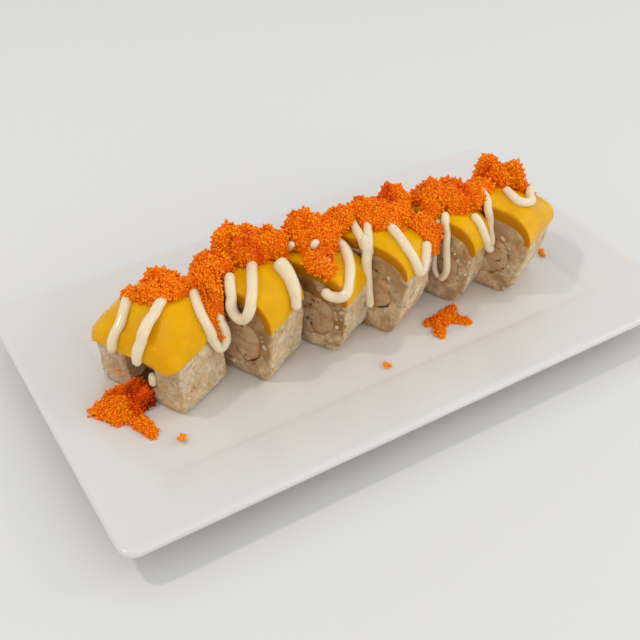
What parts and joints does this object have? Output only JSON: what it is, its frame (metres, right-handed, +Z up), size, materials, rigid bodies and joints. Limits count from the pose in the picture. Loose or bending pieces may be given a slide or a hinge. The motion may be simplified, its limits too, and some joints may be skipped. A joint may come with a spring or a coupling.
{
  "type": "plated uramaki roll",
  "caption": "Sliced inside-out sushi roll topped with orange fruit slabs, roe and mayonnaise, on an oblong white plate.",
  "frame": {"origin": "centre of the plate at the height of the surface it stands on", "axes": "+X along the plate's long side, +Y along its short side towards the back, +Z up"},
  "size_m": [0.3, 0.1694, 0.078],
  "materials": {
    "porcelain": "glossy white glaze",
    "rice": "pressed sticky grains with a moist sheen",
    "nori": "dark dry seaweed sheet",
    "shrimp": "fibrous cooked shrimp with a fried crust line",
    "fruit": "wet ripe fruit flesh",
    "roe": "wet translucent grains"
  },
  "bodies": {
    "root": {"plate": "porcelain", "rice_1": "rice", "nori_1": "nori", "shrimp_1": "shrimp", "fruit_1": "fruit", "rice_2": "rice", "nori_2": "nori", "shrimp_2": "shrimp", "fruit_2": "fruit", "rice_3": "rice", "nori_3": "nori", "shrimp_3": "shrimp", "fruit_3": "fruit", "rice_4": "rice", "nori_4": "nori", "shrimp_4": "shrimp", "fruit_4": "fruit", "rice_5": "rice", "nori_5": "nori", "shrimp_5": "shrimp", "fruit_5": "fruit", "rice_6": "rice", "nori_6": "nori", "shrimp_6": "shrimp", "fruit_6": "fruit", "roe_1": "roe", "roe_2": "roe", "roe_3": "roe", "roe_4": "roe", "roe_5": "roe", "roe_6": "roe", "roe_7": "roe", "roe_8": "roe", "roe_spill": "roe", "roe_star": "roe"}
  },
  "joints": []
}
